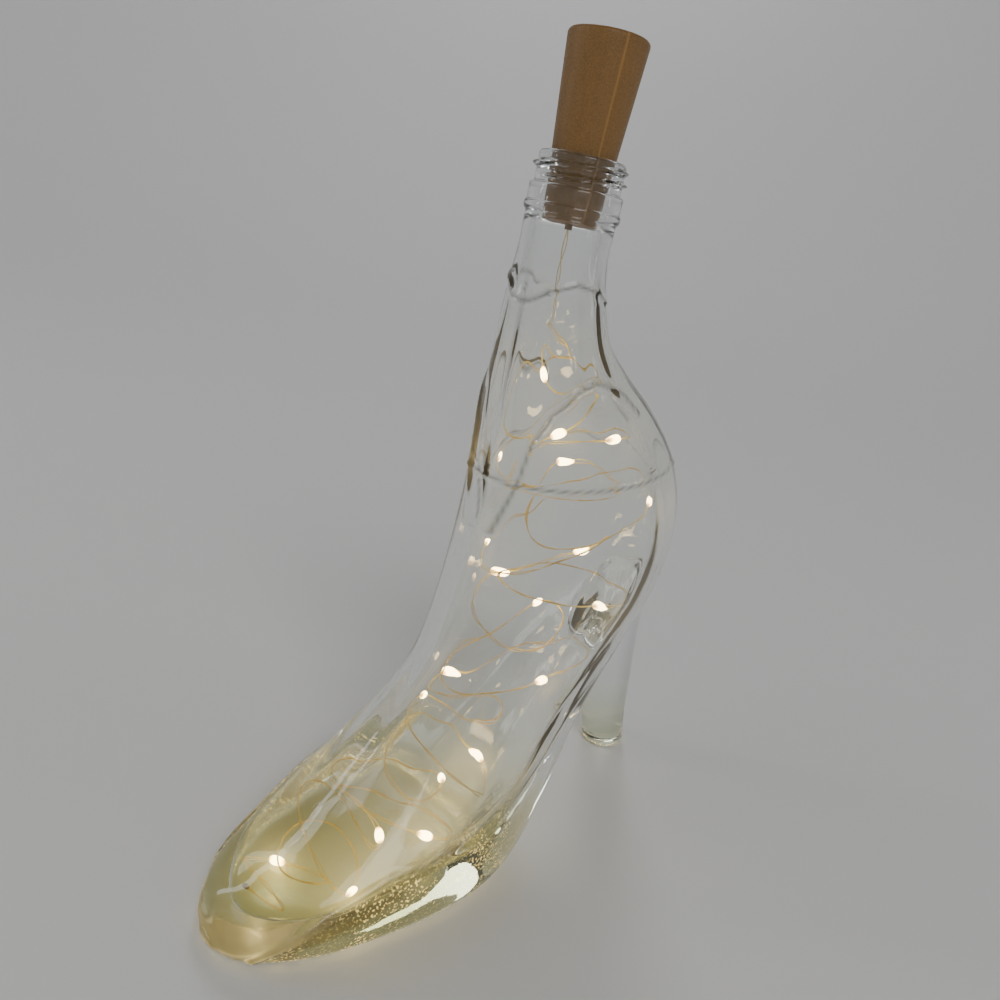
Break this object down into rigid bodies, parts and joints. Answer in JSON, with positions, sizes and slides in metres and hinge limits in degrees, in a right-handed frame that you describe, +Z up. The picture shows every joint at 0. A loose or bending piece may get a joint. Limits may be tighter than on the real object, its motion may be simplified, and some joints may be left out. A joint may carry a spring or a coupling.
{
  "type": "bottle light",
  "caption": "Shoe-shaped clear glass bottle with a cork-shaped battery stopper and a string of small warm white lights on thin wire inside.",
  "frame": {"origin": "on the ground under the middle of the shoe's length, in its symmetry plane", "axes": "+Z up, +X from the toe towards the heel, +Y across the shoe"},
  "size_m": [0.208, 0.07, 0.272],
  "materials": {
    "clear_glass": "clear flint glass, moulded, thick, faintly green in depth",
    "tan_plastic": "cork-coloured moulded plastic, satin",
    "dark_plastic": "dark brown moulded plastic",
    "board_green": "green solder mask",
    "bright_steel": "plated sheet steel",
    "phenolic": "brown laminate",
    "black_plastic": "black moulded plastic",
    "nickel": "nickel-plated strip",
    "cell_steel": "satin steel can",
    "solder": "smooth solder",
    "wire_copper": "pale lacquered copper twin wire",
    "lit_resin": "clear resin drop, lit warm white",
    "chip_yellow": "yellow phosphor chip, lit",
    "clear_resin": "resin blob"
  },
  "bodies": {
    "bottle": {"glass_bottle": "clear_glass", "lead_wire": "wire_copper", "light_wire": "wire_copper", "led_drops": "lit_resin", "led_chips": "chip_yellow", "end_seal": "clear_resin"},
    "stopper": {"cork_shell": "tan_plastic", "centre_contact": "nickel", "side_contact": "nickel", "solder_joints": "solder", "inner_leads": "wire_copper", "strain_relief": "tan_plastic"},
    "carrier": {"battery_carrier": "dark_plastic", "head_cover": "tan_plastic", "circuit_board": "board_green", "switch_frame": "bright_steel", "switch_base": "phenolic", "switch_terminals": "nickel", "resistor": "black_plastic", "button_cell_1": "cell_steel", "button_cell_2": "cell_steel", "button_cell_3": "cell_steel", "contact_spring": "nickel", "contact_plate": "nickel", "return_strip": "nickel"},
    "slider": {"switch_slider": "black_plastic"}
  },
  "joints": [
    {"name": "stopper_lift", "type": "slide", "parent": "bottle", "child": "stopper", "axis": [0, 0, 1], "range_m": [0, 0.03], "deforming": ["lead_wire"]},
    {"name": "carrier_pull", "type": "slide", "parent": "stopper", "child": "carrier", "axis": [0, 0, 1], "range_m": [0, 0.036]},
    {"name": "switch_slide", "type": "slide", "parent": "carrier", "child": "slider", "axis": [1, 0, 0], "range_m": [0, 0.002]}
  ]
}
